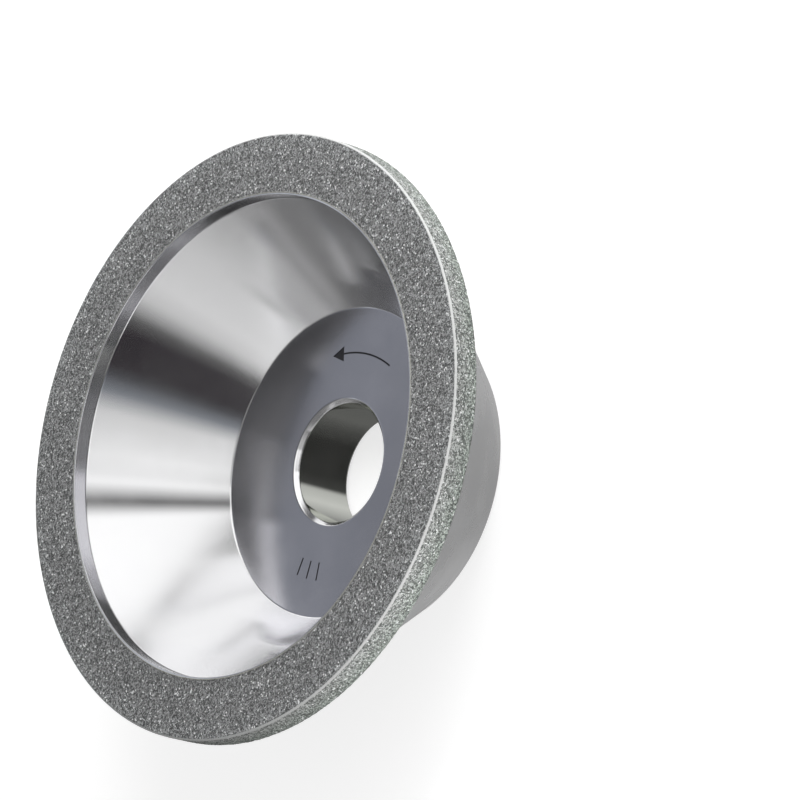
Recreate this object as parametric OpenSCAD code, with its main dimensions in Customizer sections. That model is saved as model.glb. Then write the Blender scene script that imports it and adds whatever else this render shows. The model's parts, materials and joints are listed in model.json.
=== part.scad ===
// Cup-shaped diamond grinding wheel: a turned metal body, a thin bond layer and
// a diamond rim ring. The wheel stands on its back mounting face at z = 0, the
// spindle axis is Z, and the grinding face looks along +Z.

/* [Wheel] */
// Outside diameter of the grinding rim
wheel_d = 100; // [90:1:150]
// Height from the back mounting face to the grinding face
wheel_h = 35; // [30:1:40]
// Diameter of the spindle bore
bore_d = 20; // [10:0.5:22]
// Bevel at both ends of the bore
bore_bevel = 0.7; // [0.2:0.1:1.2]

/* [Bowl] */
// Slope of the bowl's wall, in degrees from the spindle axis
cone_angle = 34; // [25:1:35]
// Thickness of the bowl's sloping wall
wall_t = 6.4; // [5:0.1:8]
// Thickness of the hub web that the clamping nut bears on
web_t = 12.2; // [9:0.1:14]
// Depth of the straight band inside the mouth
band_h = 2.5; // [1:0.1:4]
// Bevel round the back mounting face
back_bevel = 0.4; // [0.2:0.1:1]

/* [Rim] */
// Radial width of the rim pocket, from its wall to the wheel's outside
rim_w = 10; // [8:0.5:12]
// Depth of the rim pocket
rim_t = 5; // [4:0.5:6]
// Thickness of the thin lip inside the diamond ring
lip_t = 0.3; // [0.3:0.1:0.8]
// How far the diamond ring overhangs the flange that carries it
overhang = 1.4; // [1:0.1:2]
// Thickness of the flange's straight edge
flange_t = 0.9; // [0.5:0.1:1.5]
// Worn bevel on the outer front edge of the diamond ring
rim_bevel = 0.25; // [0.1:0.05:0.5]

/* [Bond] */
// Thickness of the bond layer under the diamond ring
bond_t = 0.2; // [0.1:0.05:0.4]
// Thickness of the bond layer against the lip
bond_side_t = 0.12; // [0.1:0.02:0.3]
// Number of keying grooves turned in the floor of the pocket
key_count = 3; // [1:1:4]
// Width of one keying groove
key_w = 0.8; // [0.4:0.1:1]
// Depth of one keying groove
key_depth = 0.5; // [0.2:0.1:0.8]

/* [Marks] */
// Width of an engraved line
line_w = 0.3; // [0.2:0.05:0.5]
// Depth of an engraved line
line_depth = 0.12; // [0.05:0.01:0.3]
// Angle that the spin arrow covers, in degrees
arrow_span = 38; // [20:1:60]
// Length of the arrow's head, and its width
arrow_head = 2.6; // [1.5:0.1:3]
// Number of index ticks opposite the arrow
tick_count = 3; // [1:1:5]
// Length of one index tick
tick_l = 3; // [1:0.1:4]

/* [Hidden] */
$fn = 180;
wheel_r = wheel_d / 2;
bore_r = bore_d / 2;
// The diamond ring sits in an L-shaped pocket between the lip and open air.
pocket_r = wheel_r - rim_w;
lip_r = pocket_r - lip_t;
seat_z = wheel_h - rim_t;
ring_in_r = pocket_r + bond_side_t;
ring_z = seat_z + bond_t;
// Both faces of the sloping wall run at the same angle.
slope = tan(cone_angle);
band_z = wheel_h - band_h;
wall_r = wall_t / cos(cone_angle);
function inner_r(z) = lip_r - (band_z - z) * slope;
function outer_r(z) = inner_r(z) + wall_r;
// The flange under the ring runs back into the wall on a steeper slope.
flange_r = wheel_r - overhang;
flange_z = seat_z - flange_t;
flange_slope = tan(60);
flange_low_z = (flange_z * flange_slope + outer_r(0) - flange_r) / (flange_slope - slope);
// Keying grooves are spread evenly over the pocket's floor.
key_pitch = (flange_r - pocket_r) / (key_count + 1);
// Engraved marks run round the middle of the hub's clamping face.
mark_r = (bore_r + bore_bevel + inner_r(web_t)) / 2;
tick_pitch = 7;
// Extra length that makes a cutter break the surface cleanly
clear = 1;

module key_sections(extra) {
    for (i = [1:key_count])
        translate([pocket_r + i * key_pitch - key_w / 2, seat_z - key_depth])
            square([key_w, key_depth + extra]);
}

module body_section() {
    difference() {
        polygon([
            [bore_r, bore_bevel],
            [bore_r + bore_bevel, 0],
            [outer_r(0) - back_bevel, 0],
            [outer_r(back_bevel), back_bevel],
            [outer_r(flange_low_z), flange_low_z],
            [flange_r, flange_z],
            [flange_r, seat_z],
            [pocket_r, seat_z],
            [pocket_r, wheel_h],
            [lip_r, wheel_h],
            [lip_r, band_z],
            [inner_r(web_t), web_t],
            [bore_r + bore_bevel, web_t],
            [bore_r, web_t - bore_bevel]
        ]);
        key_sections(clear);
    }
}

// A ring sector of radius r and width w, centred on the X axis.
module arc_line(r, w, span) {
    reach = r + clear;
    half = span / 2;
    intersection() {
        difference() {
            circle(r + w / 2);
            circle(r - w / 2);
        }
        polygon([[0, 0], [reach, -reach * tan(half)], [reach, reach * tan(half)]]);
    }
}

module arrow_mark() {
    half = arrow_span / 2;
    arc_line(mark_r, line_w, arrow_span);
    rotate(half)
        translate([mark_r, -line_w])
            polygon([[-arrow_head / 2, 0], [arrow_head / 2, 0], [0, arrow_head]]);
}

module tick_marks() {
    for (i = [0:tick_count - 1])
        rotate(180 + (i - (tick_count - 1) / 2) * tick_pitch)
            translate([mark_r - tick_l / 2, -line_w / 2])
                square([tick_l, line_w]);
}

module marks() {
    translate([0, 0, web_t - line_depth])
        linear_extrude(line_depth + clear) {
            arrow_mark();
            tick_marks();
        }
}

module wheel_body() {
    color("silver")
        difference() {
            rotate_extrude() body_section();
            marks();
        }
}

module bond_layer() {
    color("darkgray")
        rotate_extrude() {
            translate([pocket_r, seat_z]) square([flange_r - pocket_r, bond_t]);
            translate([pocket_r, seat_z]) square([bond_side_t, rim_t]);
            key_sections(bond_t / 2);
        }
}

module diamond_ring() {
    color("dimgray")
        rotate_extrude()
            polygon([
                [ring_in_r, ring_z],
                [wheel_r - rim_bevel, ring_z],
                [wheel_r, ring_z + rim_bevel],
                [wheel_r, wheel_h - rim_bevel],
                [wheel_r - rim_bevel, wheel_h],
                [ring_in_r, wheel_h]
            ]);
}

wheel_body();
bond_layer();
diamond_ring();
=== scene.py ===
# A bowl-shaped diamond grinding wheel lying on its back: a turned, polished metal
# body, a ring of diamond grit in resin, and the bond line between them.
# Lengths are in metres, with the spindle axis on Z and the grinding face up.
import json
import math

import bpy
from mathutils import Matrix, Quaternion, Vector


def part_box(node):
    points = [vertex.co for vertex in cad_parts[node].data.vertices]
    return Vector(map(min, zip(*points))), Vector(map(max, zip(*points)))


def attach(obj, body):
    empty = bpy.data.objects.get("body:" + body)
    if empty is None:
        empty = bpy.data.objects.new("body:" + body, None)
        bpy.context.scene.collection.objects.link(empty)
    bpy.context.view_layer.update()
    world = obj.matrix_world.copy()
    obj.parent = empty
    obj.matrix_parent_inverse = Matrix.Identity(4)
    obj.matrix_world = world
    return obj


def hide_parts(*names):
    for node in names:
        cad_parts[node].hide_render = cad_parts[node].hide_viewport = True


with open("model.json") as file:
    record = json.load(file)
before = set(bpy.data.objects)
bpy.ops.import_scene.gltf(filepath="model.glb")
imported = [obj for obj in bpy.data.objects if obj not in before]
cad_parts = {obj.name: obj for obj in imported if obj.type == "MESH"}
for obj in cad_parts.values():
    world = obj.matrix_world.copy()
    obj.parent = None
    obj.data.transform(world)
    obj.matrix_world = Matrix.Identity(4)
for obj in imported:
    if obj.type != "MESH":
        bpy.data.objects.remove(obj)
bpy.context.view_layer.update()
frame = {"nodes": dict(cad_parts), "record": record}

MM = 0.001
MOUNTS = {mount["name"]: mount for mount in frame["record"]["mounts"]}

# Heights and radii that the frame gives
RING_LOW, RING_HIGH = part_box("diamond_ring")
BODY_LOW, BODY_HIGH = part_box("wheel_body")
FACE_Z = RING_HIGH[2]
RING_Z = RING_LOW[2]
WHEEL_R = (RING_HIGH[0] - RING_LOW[0]) / 2
FLANGE_R = (BODY_HIGH[0] - BODY_LOW[0]) / 2
RIM_WIDTH = 10 * MM
RIM_DEPTH = 5 * MM
SEAT_Z = FACE_Z - RIM_DEPTH
BORE_R = MOUNTS["bore"]["dims"]["r_mm"] * MM
WEB_Z = MOUNTS["clamp_face"]["pos_m"][2]

# The turned body
LIP_T = 0.3 * MM
BAND_H = 2.5 * MM
CONE_ANGLE = math.radians(34)
CONE_SLOPE = math.tan(CONE_ANGLE)
WALL_T = 6.4 * MM
FLANGE_T = 0.9 * MM
FLANGE_SLOPE = math.tan(math.radians(60))
POCKET_R = WHEEL_R - RIM_WIDTH
LIP_R = POCKET_R - LIP_T
BAND_Z = FACE_Z - BAND_H
WALL_R = WALL_T / math.cos(CONE_ANGLE)
BORE_BEVEL = 0.7 * MM
BACK_BEVEL = 0.4 * MM
FLANGE_Z = SEAT_Z - FLANGE_T
TURNING_STEPS = 288
HOLD_GAP = 0.3 * MM
# How far the body's edges are rounded, and how finely
LIP_SOFT = 0.1 * MM
BOWL_SOFT = 0.12 * MM
BORE_SOFT = 0.08 * MM
FLANGE_SOFT = 0.1 * MM
SOFT_SEGMENTS = 3
ON_CIRCLE = 0.02 * MM
BODY_SMOOTH = 12

# The diamond ring
BOND_SIDE_T = 0.12 * MM
RING_IN_R = POCKET_R + BOND_SIDE_T
RIM_BEVEL = 0.25 * MM
# The grit: its surface's steps and pitch, how far it is drawn in first so that no grain
# stands past the wheel's size, its height and size, and its share on the dressed edge
GRIT_STEPS = 1300
GRIT_PITCH = 0.23 * MM
GRIT_SINK = 0.06 * MM
GRIT_HEIGHT = 0.16 * MM
GRIT_SIZE = 0.35 * MM
GRIT_MIDDLE = 0.6
EDGE_GRAIN = 0.25
RING_SMOOTH = 60

# Engraved marks on the hub
LINE_W = 0.3 * MM
LINE_DEPTH = 0.12 * MM
ARROW_SPAN = math.radians(38)
ARROW_HEAD = 2.6 * MM
TICK_L = 3 * MM
TICK_PITCH = math.radians(7)
ARC_STEPS = 20

# Finishes of the body, in the order of its material list
POLISHED, SATIN, OUTER, BURNT, BORED = range(5)

# The camera
CAMERA_PLACE = (0, -0.6022, 0.5454)
CAMERA_LOOK = (0.0155, 0.7427, -0.6694)
CAMERA_ROLL = math.radians(-73.9)
CAMERA_LENS = 220.5
CAMERA_SENSOR = 36


def inner_r(z):
    """Radius of the bowl's inner cone at height z."""
    return LIP_R - (BAND_Z - z) * CONE_SLOPE


def outer_r(z):
    """Radius of the bowl's outer cone at height z."""
    return inner_r(z) + WALL_R


MARK_R = (BORE_R + BORE_BEVEL + inner_r(WEB_Z)) / 2


# ---------------------------------------------------------------- shader maths


class Wire:
    """One output socket. Python's operators on wires add Math nodes."""

    def __init__(self, shader, socket):
        self.shader = shader
        self.socket = socket

    def maths(self, operation, *others):
        sockets = dict(enumerate((self, *others)))
        return self.shader.add("ShaderNodeMath", {"operation": operation}, sockets)

    def __add__(self, other):
        return self.maths("ADD", other)

    def __sub__(self, other):
        return self.maths("SUBTRACT", other)

    def __mul__(self, other):
        return self.maths("MULTIPLY", other)

    def __truediv__(self, other):
        return self.maths("DIVIDE", other)

    def __pow__(self, other):
        return self.maths("POWER", other)

    def __rsub__(self, other):
        sockets = {0: other, 1: self}
        return self.shader.add("ShaderNodeMath", {"operation": "SUBTRACT"}, sockets)


class Shader:
    """A node tree that is written as expressions."""

    def __init__(self, tree):
        self.tree = tree
        tree.nodes.clear()

    def add(self, kind, settings=None, sockets=None, output=0):
        """Adds a node: its settings first, then the values or wires of its sockets."""
        node = self.tree.nodes.new(kind)
        for key, value in (settings or {}).items():
            if key == "stops":
                self.set_stops(node.color_ramp, value)
            else:
                setattr(node, key, value)
        for key, value in (sockets or {}).items():
            if isinstance(value, Wire):
                self.tree.links.new(value.socket, node.inputs[key])
            else:
                node.inputs[key].default_value = value
        return Wire(self, node.outputs[output]) if node.outputs else None

    @staticmethod
    def set_stops(ramp, stops):
        while len(ramp.elements) < len(stops):
            ramp.elements.new(1.0)
        for element, (place, colour) in zip(ramp.elements, sorted(stops)):
            element.position = place
            element.color = (*colour, 1) if isinstance(colour, tuple) else (colour,) * 3 + (1,)

    def coords(self, output="Object"):
        return self.add("ShaderNodeTexCoord", output=output)

    def split(self, vector):
        node = self.add("ShaderNodeSeparateXYZ", sockets={0: vector}).socket.node
        return [Wire(self, socket) for socket in node.outputs]

    def join(self, x, y, z):
        return self.add("ShaderNodeCombineXYZ", sockets={0: x, 1: y, 2: z})

    def grey(self, value):
        return self.join(value, value, value)

    def noise(self, vector, scale, detail=2.0, roughness=0.5):
        sockets = {"Vector": vector, "Scale": scale, "Detail": detail, "Roughness": roughness}
        return self.add("ShaderNodeTexNoise", sockets=sockets)

    def cells(self, vector, scale, output="Distance", feature="F1"):
        sockets = {"Vector": vector, "Scale": scale}
        return self.add("ShaderNodeTexVoronoi", {"feature": feature}, sockets, output)

    def fade(self, value, start, end, low=0.0, high=1.0):
        """A smooth step from low to high as value goes from start to end."""
        settings = {"interpolation_type": "SMOOTHSTEP"}
        sockets = {"Value": value, "From Min": start, "From Max": end, "To Min": low, "To Max": high}
        return self.add("ShaderNodeMapRange", settings, sockets)

    def blend(self, factor, first, second):
        """Mixes two colours."""
        pair = [c if isinstance(c, Wire) else (*c, 1) for c in (first, second)]
        sockets = {0: factor, 6: pair[0], 7: pair[1]}
        return self.add("ShaderNodeMix", {"data_type": "RGBA"}, sockets, 2)

    def bump(self, height, distance, strength=1.0):
        sockets = {"Height": height, "Distance": distance, "Strength": strength}
        return self.add("ShaderNodeBump", sockets=sockets)


def material(name, paint):
    """Makes a material. paint gets the shader and returns the surface's sockets."""
    made = bpy.data.materials.new(name)
    made.use_nodes = True
    shader = Shader(made.node_tree)
    surface = shader.add("ShaderNodeBsdfPrincipled", sockets=paint(shader))
    shader.add("ShaderNodeOutputMaterial", sockets={"Surface": surface})
    return made


# ------------------------------------------------------------------ modelling


def clear_selection():
    if bpy.context.mode != "OBJECT":
        bpy.ops.object.mode_set(mode="OBJECT")
    bpy.ops.object.select_all(action="DESELECT")


def make_active(piece):
    clear_selection()
    piece.select_set(True)
    bpy.context.view_layer.objects.active = piece


def done():
    bpy.ops.object.mode_set(mode="OBJECT")


def open_on_edges(piece, test):
    """Opens a piece for editing, with the edges selected whose two ends pass the test."""
    make_active(piece)
    bpy.ops.object.mode_set(mode="EDIT")
    bpy.ops.mesh.select_mode(type="EDGE")
    bpy.ops.mesh.select_all(action="DESELECT")
    done()
    mesh = piece.data
    for edge in mesh.edges:
        ends = [mesh.vertices[i].co for i in edge.vertices]
        edge.select = test(*ends)
    bpy.ops.object.mode_set(mode="EDIT")


def radius_of(point):
    return math.hypot(point[0], point[1])


def held(section, gap):
    """Adds a point close to both ends of each long stretch, so that the shading of
    the bevels doesn't spread over the faces between them."""
    outline = []
    for i, start in enumerate(section):
        end = section[(i + 1) % len(section)]
        outline.append(start)
        length = math.dist(start, end)
        if length > 3 * gap:
            for share in (gap / length, 1 - gap / length):
                outline.append(tuple(a + (b - a) * share for a, b in zip(start, end)))
    return outline


def turned(name, section, steps):
    """A closed ring about Z, drawn out round its section one circle at a time."""
    clear_selection()
    r, z = section[0]
    bpy.ops.mesh.primitive_circle_add(vertices=steps, radius=r)
    piece = bpy.context.object
    piece.name = piece.data.name = name
    bpy.ops.object.mode_set(mode="EDIT")
    bpy.ops.mesh.select_mode(type="VERT")
    bpy.ops.mesh.select_all(action="SELECT")
    bpy.ops.transform.translate(value=(0, 0, z))
    for next_r, next_z in section[1:] + section[:1]:
        bpy.ops.mesh.extrude_edges_move(TRANSFORM_OT_translate={"value": (0, 0, next_z - z)})
        grow = next_r / r
        bpy.ops.transform.resize(value=(grow, grow, 1), center_override=(0, 0, 0))
        r, z = next_r, next_z
    bpy.ops.mesh.select_all(action="SELECT")
    bpy.ops.mesh.remove_doubles(threshold=0.001 * MM)
    bpy.ops.mesh.normals_make_consistent(inside=False)
    bpy.ops.mesh.select_all(action="DESELECT")
    done()
    return piece


def soften(piece, circles, width):
    """Bevels the edges that run round the given circles, each a radius and a height."""
    def on_circle(a, b):
        for r, z in circles:
            if all(abs(radius_of(p) - r) < ON_CIRCLE and abs(p[2] - z) < ON_CIRCLE for p in (a, b)):
                return True
        return False

    open_on_edges(piece, on_circle)
    bpy.ops.mesh.bevel(offset=width, segments=SOFT_SEGMENTS, affect="EDGES")
    done()


def cut_away(piece, cutter):
    """Cuts one solid out of another and removes the cutter."""
    cut = piece.modifiers.new("cut", "BOOLEAN")
    cut.operation = "DIFFERENCE"
    cut.solver = "EXACT"
    cut.object = cutter
    apply_modifier(piece, cut)
    bpy.data.objects.remove(cutter)


def apply_modifier(piece, modifier):
    make_active(piece)
    bpy.ops.object.modifier_apply(modifier=modifier.name)


def smooth(piece, degrees):
    """Shades a piece smooth, except across edges sharper than the given angle."""
    make_active(piece)
    bpy.ops.object.shade_smooth_by_angle(angle=math.radians(degrees))


def give(piece, finishes, choice):
    """Gives a piece its materials. choice picks one by a face's middle and normal."""
    piece.data.materials.clear()
    for finish in finishes:
        piece.data.materials.append(finish)
    for face in piece.data.polygons:
        face.material_index = choice(face.center, face.normal)


def settle(piece, node):
    """Fastens a finished piece to the wheel in place of its CAD node."""
    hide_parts(node)
    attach(piece, "root")


# ------------------------------------------------------------ wheel body shape


def body_section():
    """The body's outline, as radius and height, from the bore's lower end outwards."""
    flange_low = (FLANGE_Z * FLANGE_SLOPE + outer_r(0) - FLANGE_R) / (FLANGE_SLOPE - CONE_SLOPE)
    return [
        (BORE_R, BORE_BEVEL),
        (BORE_R + BORE_BEVEL, 0),
        (outer_r(0) - BACK_BEVEL, 0),
        (outer_r(BACK_BEVEL), BACK_BEVEL),
        (outer_r(flange_low), flange_low),
        (FLANGE_R, FLANGE_Z),
        (FLANGE_R, SEAT_Z),
        (POCKET_R, SEAT_Z),
        (POCKET_R, FACE_Z),
        (LIP_R, FACE_Z),
        (LIP_R, BAND_Z),
        (inner_r(WEB_Z), WEB_Z),
        (BORE_R + BORE_BEVEL, WEB_Z),
        (BORE_R, WEB_Z - BORE_BEVEL),
    ]


def groove_bar(length, angle, middle_r):
    """A radial cutter for one engraved tick."""
    clear_selection()
    bpy.ops.mesh.primitive_cube_add(size=1)
    bar = bpy.context.object
    bar.scale = (length, LINE_W, 2 * LINE_DEPTH)
    bar.location = (middle_r * math.cos(angle), middle_r * math.sin(angle), WEB_Z)
    bar.rotation_euler = (0, 0, angle)
    bpy.ops.object.transform_apply()
    return bar


def groove_arc():
    """A curved cutter for the arrow's line, spun round the hub."""
    clear_selection()
    half = ARROW_SPAN / 2
    bpy.ops.mesh.primitive_plane_add(size=1)
    arc = bpy.context.object
    arc.scale = (LINE_W, 2 * LINE_DEPTH, 1)
    arc.rotation_euler = (math.pi / 2, 0, 0)
    arc.location = (MARK_R, 0, WEB_Z)
    bpy.ops.object.transform_apply()
    arc.rotation_euler = (0, 0, -half)
    bpy.ops.object.transform_apply()
    bpy.ops.object.mode_set(mode="EDIT")
    bpy.ops.mesh.select_all(action="SELECT")
    bpy.ops.mesh.spin(steps=ARC_STEPS, angle=-ARROW_SPAN, center=(0, 0, 0), axis=(0, 0, 1))
    bpy.ops.mesh.select_all(action="SELECT")
    bpy.ops.mesh.normals_make_consistent(inside=False)
    done()
    return arc


def groove_head():
    """A three-cornered cutter for the arrow's head."""
    clear_selection()
    half = ARROW_SPAN / 2
    bpy.ops.mesh.primitive_cylinder_add(vertices=3, radius=1, depth=2 * LINE_DEPTH)
    head = bpy.context.object
    head.scale = (ARROW_HEAD / math.sqrt(3), ARROW_HEAD / 1.5, 1)
    bpy.ops.object.transform_apply()
    head.location = (MARK_R, ARROW_HEAD / 3 - LINE_W, WEB_Z)
    bpy.ops.object.transform_apply()
    head.rotation_euler = (0, 0, half)
    bpy.ops.object.transform_apply()
    return head


def make_body():
    body = turned("turned_body", held(body_section(), HOLD_GAP), TURNING_STEPS)
    soften(body, [(POCKET_R, FACE_Z), (LIP_R, FACE_Z)], LIP_SOFT)
    soften(body, [(LIP_R, BAND_Z), (inner_r(WEB_Z), WEB_Z)], BOWL_SOFT)
    soften(body, [(BORE_R + BORE_BEVEL, WEB_Z), (BORE_R, WEB_Z - BORE_BEVEL)], BORE_SOFT)
    soften(body, [(BORE_R + BORE_BEVEL, 0), (BORE_R, BORE_BEVEL)], BORE_SOFT)
    soften(body, [(outer_r(0) - BACK_BEVEL, 0), (outer_r(BACK_BEVEL), BACK_BEVEL)], BORE_SOFT)
    soften(body, [(FLANGE_R, FLANGE_Z), (FLANGE_R, SEAT_Z)], FLANGE_SOFT)
    cut_away(body, groove_arc())
    cut_away(body, groove_head())
    for i in (-1, 0, 1):
        cut_away(body, groove_bar(TICK_L, math.pi + i * TICK_PITCH, MARK_R))
    smooth(body, BODY_SMOOTH)
    return body


# --------------------------------------------------------- diamond ring shape


def stretch(start, end, pitch):
    """Evenly spread points from start up to, but not including, end."""
    count = max(1, round(math.dist(start, end) / pitch))
    return [
        (start[0] + (end[0] - start[0]) * i / count, start[1] + (end[1] - start[1]) * i / count)
        for i in range(count)
    ]


def ring_section(pitch, sink=0.0):
    """The diamond ring's outline, with its open sides divided and drawn in by sink."""
    top, side = FACE_Z - sink, WHEEL_R - sink
    corners = [
        (RING_IN_R, RING_Z),
        (side - RIM_BEVEL, RING_Z),
        (side, RING_Z + RIM_BEVEL),
        (side, top - RIM_BEVEL),
        (side - RIM_BEVEL, top),
        (RING_IN_R, top),
    ]
    outline = []
    for i, corner in enumerate(corners):
        following = corners[(i + 1) % len(corners)]
        outline += stretch(corner, following, pitch) if 1 <= i <= 4 else [corner]
    return outline


def flatten_edge(ring):
    """Weights for the grain: full over the ring, and faint on its outer front edge."""
    grainy = ring.vertex_groups.new(name="grainy")
    for vertex in ring.data.vertices:
        on_edge = radius_of(vertex.co) + vertex.co.z > WHEEL_R + FACE_Z - 2 * RIM_BEVEL
        grainy.add([vertex.index], EDGE_GRAIN if on_edge else 1.0, "REPLACE")
    return grainy.name


def make_ring():
    ring = turned("diamond_layer", ring_section(GRIT_PITCH, GRIT_SINK), GRIT_STEPS)
    grain = bpy.data.textures.new("grain", "CLOUDS")
    grain.noise_scale = GRIT_SIZE
    grain.noise_depth = 1
    rough = ring.modifiers.new("grain", "DISPLACE")
    rough.texture = grain
    rough.texture_coords = "LOCAL"
    rough.strength = GRIT_HEIGHT
    rough.mid_level = GRIT_MIDDLE
    rough.vertex_group = flatten_edge(ring)
    apply_modifier(ring, rough)
    smooth(ring, RING_SMOOTH)
    return ring


# ------------------------------------------------------------------ materials


def turned_metal(s, tones, roughness, mark_depth, marks_per_metre=9000.0, grain=0.8):
    """Metal with fine tool marks that run round the spindle axis. tones are two
    colours and roughness two values, which tool marks and cloudy wear go between."""
    place = s.coords()
    x, y, z = s.split(place)
    across = ((x * x + y * y) ** 0.5 + z) * marks_per_metre
    rings = s.noise(s.join(0.0, 0.0, across), 1.0, 3.0, 0.6)
    clouds = s.noise(place, 70.0, 4.0, 0.6)
    worn = s.fade(clouds + rings * 0.25, 0.35, 0.9)
    return {
        "Base Color": s.blend(worn, *tones),
        "Metallic": 1.0,
        "Roughness": s.fade(clouds, 0.3, 0.7, *roughness) + s.noise(place, 900.0) * 0.02,
        "Anisotropic": grain,
        "Anisotropic Rotation": 0.25,
        "Normal": s.bump(rings, mark_depth, 0.5),
    }


def paint_polished(s):
    """The cone and band: turned, then polished to a mirror."""
    tones = (0.88, 0.88, 0.89), (0.92, 0.92, 0.925)
    return turned_metal(s, tones, (0.1, 0.13), 0.0003 * MM, 5000.0, 1.0)


def paint_satin(s):
    """The hub's finely faced clamping face and the back mounting face."""
    tones = (0.54, 0.54, 0.575), (0.64, 0.635, 0.67)
    return turned_metal(s, tones, (0.13, 0.17), 0.001 * MM, 4000.0, 0.6)


def paint_outer(s):
    """The bowl's outside, with turning marks that can be seen."""
    tones = (0.6, 0.6, 0.605), (0.68, 0.68, 0.685)
    return turned_metal(s, tones, (0.22, 0.3), 0.0008 * MM, 5000.0)


def paint_bored(s):
    """The bore: reamed smooth, with a faint olive tint."""
    tones = (0.8, 0.82, 0.76), (0.86, 0.87, 0.82)
    return turned_metal(s, tones, (0.08, 0.12), 0.0003 * MM, 4000.0)


def paint_burnt(s):
    """The floor of an engraved line."""
    place = s.coords()
    speck = s.noise(place, 5000.0, 3.0)
    return {
        "Base Color": s.blend(speck, (0.03, 0.03, 0.035), (0.09, 0.09, 0.1)),
        "Metallic": 0.6,
        "Roughness": s.fade(speck, 0.2, 0.8, 0.5, 0.8),
        "Normal": s.bump(speck, 0.01 * MM, 0.6),
    }


def paint_grit(s):
    """Diamond grit in resin: dark bond, grey broken grains, and a few grains painted pale
    as glints, which are also smoother. The outer wall is greener, more so towards the back."""
    place = s.coords()
    x, y, z = s.split(place)
    r = (x * x + y * y) ** 0.5
    grain = s.cells(place, 4200.0, "Color")
    tone, glint, _ = s.split(grain)
    gap = s.cells(place, 4200.0, feature="DISTANCE_TO_EDGE")
    chips = s.split(s.cells(place, 9500.0, "Color"))[0]
    shade = (tone * 0.65 + chips * 0.35) * s.fade(gap, 0.02, 0.14, 0.35, 1.0)
    shade = s.fade(shade, 0.1, 0.85)
    wall = s.fade(r, WHEEL_R - 0.35 * MM, WHEEL_R - 0.15 * MM)
    outside = s.fade(r, WHEEL_R - 4 * MM, WHEEL_R - MM)
    depth = s.fade(z, FACE_Z - 0.5 * MM, FACE_Z - 4.5 * MM)
    dark = s.blend(wall, (0.045, 0.046, 0.046), (0.055, 0.06, 0.056))
    face = s.blend(outside, (0.37, 0.375, 0.375), (0.43, 0.44, 0.44))
    light = s.blend(wall, face, s.blend(depth, (0.55, 0.565, 0.55), (0.47, 0.52, 0.475)))
    # Painted glints: a few random grains get a pale colour that stands in for their sparkle.
    painted_glint = s.fade(glint, 0.955, 0.97)
    grit = s.blend(painted_glint, s.blend(shade, dark, light), (0.72, 0.73, 0.73))
    # The outer front edge is worn smooth by the dresser, and painted pale as a highlight line along
    # it.
    edge = s.fade(r + z, WHEEL_R + FACE_Z - 0.45 * MM, WHEEL_R + FACE_Z - 0.37 * MM)
    relief = (shade + s.noise(place, 16000.0) * 0.4) * (1.0 - edge * 0.8)
    return {
        # The pale colour on the outer front edge is a painted highlight.
        "Base Color": s.blend(edge, grit, (0.44, 0.445, 0.44)),
        "Roughness": s.fade(tone, 0.3, 0.9, 0.6, 0.3) - painted_glint * 0.12,
        "Normal": s.bump(relief, 0.05 * MM, 0.8),
    }


def paint_bond(s):
    """Cured bonding resin, pale grey with a trace of yellow."""
    place = s.coords()
    speck = s.noise(place, 2500.0, 3.0)
    return {
        "Base Color": s.blend(speck, (0.12, 0.12, 0.105), (0.5, 0.5, 0.46)),
        "Roughness": s.fade(speck, 0.3, 0.7, 0.25, 0.5),
        "Normal": s.bump(speck, 0.04 * MM, 0.7),
    }


def paint_floor(s):
    place = s.coords()
    grain = s.noise(place, 40.0, 3.0)
    return {
        "Base Color": s.blend(grain, (0.42, 0.42, 0.42), (0.45, 0.45, 0.45)),
        "Roughness": 0.9,
        "Emission Color": (1, 1, 1, 1),
        "Emission Strength": 0.7,
        "Specular IOR Level": 0.1,
    }


# -------------------------------------------------------------------- pieces


def body_finish(centre, normal):
    """Gives the number of a face's finish in the list below."""
    r, z = radius_of(centre), centre[2]
    near = 0.01 * MM
    on_web = WEB_Z - 2 * LINE_DEPTH < z < WEB_Z - near
    if on_web and BORE_R + BORE_BEVEL + MM < r < inner_r(WEB_Z) - MM:
        return BURNT
    if z < near or (abs(z - WEB_Z) < near and normal[2] > 0.9):
        return SATIN
    if r < BORE_R + near:
        return BORED
    if r < BORE_R + BORE_BEVEL + near:
        return POLISHED
    inside = z > WEB_Z - BORE_BEVEL and r < inner_r(z) + WALL_R / 2
    return POLISHED if inside else OUTER


body = make_body()
finishes = [
    material("polished_metal", paint_polished),
    material("satin_metal", paint_satin),
    material("outer_metal", paint_outer),
    material("burnt_line", paint_burnt),
    material("bored_metal", paint_bored),
]
give(body, finishes, body_finish)
settle(body, "wheel_body")

ring = make_ring()
give(ring, [material("diamond_grit", paint_grit)], lambda centre, normal: 0)
settle(ring, "diamond_ring")

frame["nodes"]["bond_layer"].data.materials.clear()
frame["nodes"]["bond_layer"].data.materials.append(material("bond_resin", paint_bond))


# --------------------------------------------------------------------- stage


# The floor lies a hair below the back face, so that the two never share a plane.
FLOOR_GAP = 0.05 * MM
FLOOR_R = 4


def make_floor():
    clear_selection()
    bpy.ops.mesh.primitive_circle_add(vertices=128, radius=FLOOR_R, fill_type="NGON")
    floor = bpy.context.object
    floor.location.z = -FLOOR_GAP
    floor.name = "floor"
    floor.data.materials.append(material("pale_floor", paint_floor))
    floor.visible_glossy = False
    floor.visible_diffuse = False
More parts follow.
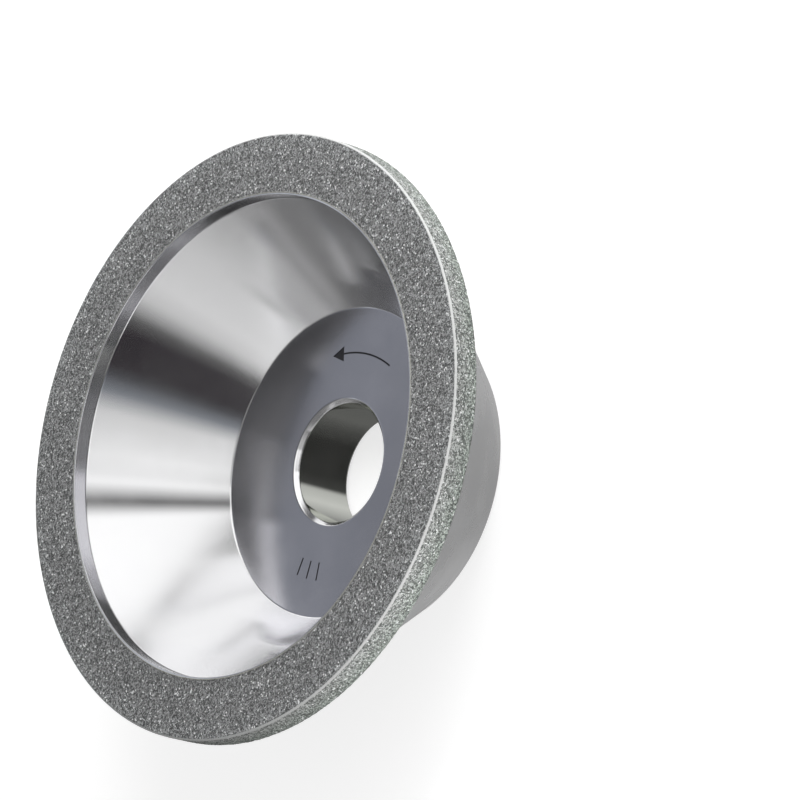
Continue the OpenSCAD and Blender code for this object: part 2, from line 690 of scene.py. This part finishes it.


# Brightness of the studio round the wheel, as azimuth in degrees and shade. Azimuth 0
# is on the camera's side and 90 towards +X. A shade is a grey or a colour.
LOW_STUDIO = (
    (-180, 0.01),
    (-140, 0.05),
    (-115, 0.48),
    (-96, 0.52),
    (-78, 0.68),
    (-57, 0.73),
    (-48, 0.58),
    (-38, 0.12),
    (-31, (0.03, 0.025, 0.03)),
    (-16, (0.035, 0.03, 0.035)),
    (-11, (0.085, 0.085, 0.095)),
    (-4, (0.27, 0.29, 0.32)),
    (6, 0.95),
    (25, 1.18),
    (38, 1.0),
    (47, 0.06),
    (54, 1.1),
    (110, 1.15),
    (140, 0.3),
    (180, 0.01),
)
UNDER_STUDIO = (
    (-180, 0.11),
    (-91, 0.12),
    (-61, 0.06),
    (-31, 0.02),
    (31, 0.025),
    (56, 0.05),
    (64, 0.5),
    (91, 0.63),
    (121, 0.42),
    (150, 0.2),
    (180, 0.11),
)


DARK = (0.03, 0.03, 0.03)
DOME = (0.42, 0.42, 0.42)
BACKDROP = (0.93, 0.93, 0.93)


def make_world():
    """A soft studio: bright panels on one side and dark flags on the other, which the
    polished metal mirrors. Matt surfaces get a plain dome, and the backdrop is pale."""
    world = bpy.data.worlds.new("studio")
    bpy.context.scene.world = world
    world.use_nodes = True
    s = Shader(world.node_tree)
    x, y, z = s.split(s.coords("Generated"))
    azimuth = x.maths("ARCTAN2", 0.0 - y) * (180 / math.pi)
    rise = z.maths("ARCSINE") * (180 / math.pi)

    def ring_of(stops):
        settings = {"stops": [(0.5 + degrees / 360, shade) for degrees, shade in stops]}
        return s.add("ShaderNodeValToRGB", settings, {0: azimuth / 360.0 + 0.5})

    # High up, the right half is a bright panel, and the left half has a grey panel at
    # the front. Overhead is dim with a lighter middle, and the back is bluish.
    left = s.fade(y, -0.41, -0.56, 0.16, 0.6)
    right = s.fade(y, -0.35, 0.05, 1.15, 1.5)
    panel_edge = ((y + 0.44) * 0.8).maths("MAXIMUM", 0.0)
    on_right = s.fade(x, panel_edge - 0.06, panel_edge)
    overhead = s.fade(x.maths("ABSOLUTE"), 0.3, 0.18) * s.fade(y, -0.35, -0.25)
    zenith = s.fade(y.maths("ABSOLUTE"), 0.28, 0.12, 0.07, 0.32)
    dim_side = s.blend(overhead, s.grey(left), s.grey(zenith))
    high = s.blend(on_right, dim_side, s.grey(right))
    centre = s.blend(s.fade(y, 0.62, 0.86), (0.15, 0.155, 0.17), (0.46, 0.48, 0.53))
    back = s.blend(s.fade(x.maths("ABSOLUTE"), 0.05, 0.4), centre, (0.72, 0.76, 0.83))
    high = s.blend(s.fade(y, 0.61, 0.73), high, back)
    # A dark gap parts the low ring from the high panels in front.
    in_front = s.fade(azimuth, -44.0, -38.0) * s.fade(azimuth, 40.0, 34.0)
    gap = in_front * s.fade(rise, 29.0, 33.0)
    high = s.blend(gap * s.fade(rise, 47.0, 43.0), high, DARK)
    # The low ring reaches up to 40 degrees in front, 31 on the right and 8 on the left.
    edge = (azimuth * 0.375 + 48.0).maths("MINIMUM", 40.0).maths("MAXIMUM", 8.0)
    edge = edge - s.fade(azimuth, 34.0, 42.0, 0.0, 9.0)
    low_end = s.blend(gap, ring_of(LOW_STUDIO), DARK)
    upper = s.blend(s.fade(rise, edge, edge + 5.0), low_end, high)
    # Below, a bright strip runs from side to side behind the wheel's back.
    nadir = s.fade((y - 0.47).maths("ABSOLUTE"), 0.22, 0.05, 0.38, 0.66)
    lower = s.blend(s.fade(rise, -46.0, -54.0), ring_of(UNDER_STUDIO), s.grey(nadir))
    studio = s.blend(s.fade(rise, 2.0, 8.0), lower, upper)
    path = s.add("ShaderNodeLightPath").socket.node
    for_eye = Wire(s, path.outputs["Is Camera Ray"])
    for_matt = Wire(s, path.outputs["Is Diffuse Ray"])
    plain = s.blend(for_matt, studio, DOME)
    shown = s.blend(for_eye, plain, BACKDROP)
    background = s.add("ShaderNodeBackground", sockets={"Color": shown})
    s.add("ShaderNodeOutputWorld", sockets={"Surface": background})


def make_panel(name, azimuth, elevation, distance, size, power):
    """A square soft box that faces the rim. Azimuth 0 is on the camera's side. The
    polished metal doesn't mirror it, and it is out of the picture."""
    light = bpy.data.lights.new(name, "AREA")
    light.size = size
    light.energy = power
    holder = bpy.data.objects.new(name, light)
    bpy.context.scene.collection.objects.link(holder)
    a, e = math.radians(azimuth), math.radians(elevation)
    way = Vector((math.sin(a) * math.cos(e), -math.cos(a) * math.cos(e), math.sin(e)))
    holder.location = way * distance + Vector((0, 0, SEAT_Z))
    holder.rotation_mode = "QUATERNION"
    holder.rotation_quaternion = way.to_track_quat("Z", "Y")
    holder.visible_glossy = False
    holder.visible_camera = False


def make_camera():
    """A long lens, rolled over so that the wheel seems to stand on its side."""
    camera = bpy.data.cameras.new("camera")
    camera.lens = CAMERA_LENS
    camera.sensor_width = CAMERA_SENSOR
    camera.clip_start = 0.01
    holder = bpy.data.objects.new("camera", camera)
    bpy.context.scene.collection.objects.link(holder)
    holder.location = CAMERA_PLACE
    look = Vector(CAMERA_LOOK)
    roll = Quaternion((0, 0, 1), CAMERA_ROLL)
    holder.rotation_mode = "QUATERNION"
    holder.rotation_quaternion = look.to_track_quat("-Z", "Y") @ roll
    bpy.context.scene.camera = holder


make_floor()
make_world()
make_panel("key", 75, 40, 0.4, 0.3, 1.6)
make_panel("rim", -22, 0, 0.12, 0.05, 0.075)
make_panel("side", 84, 3, 0.3, 0.1, 0.75)
make_camera()
bpy.context.scene.view_settings.view_transform = "Standard"
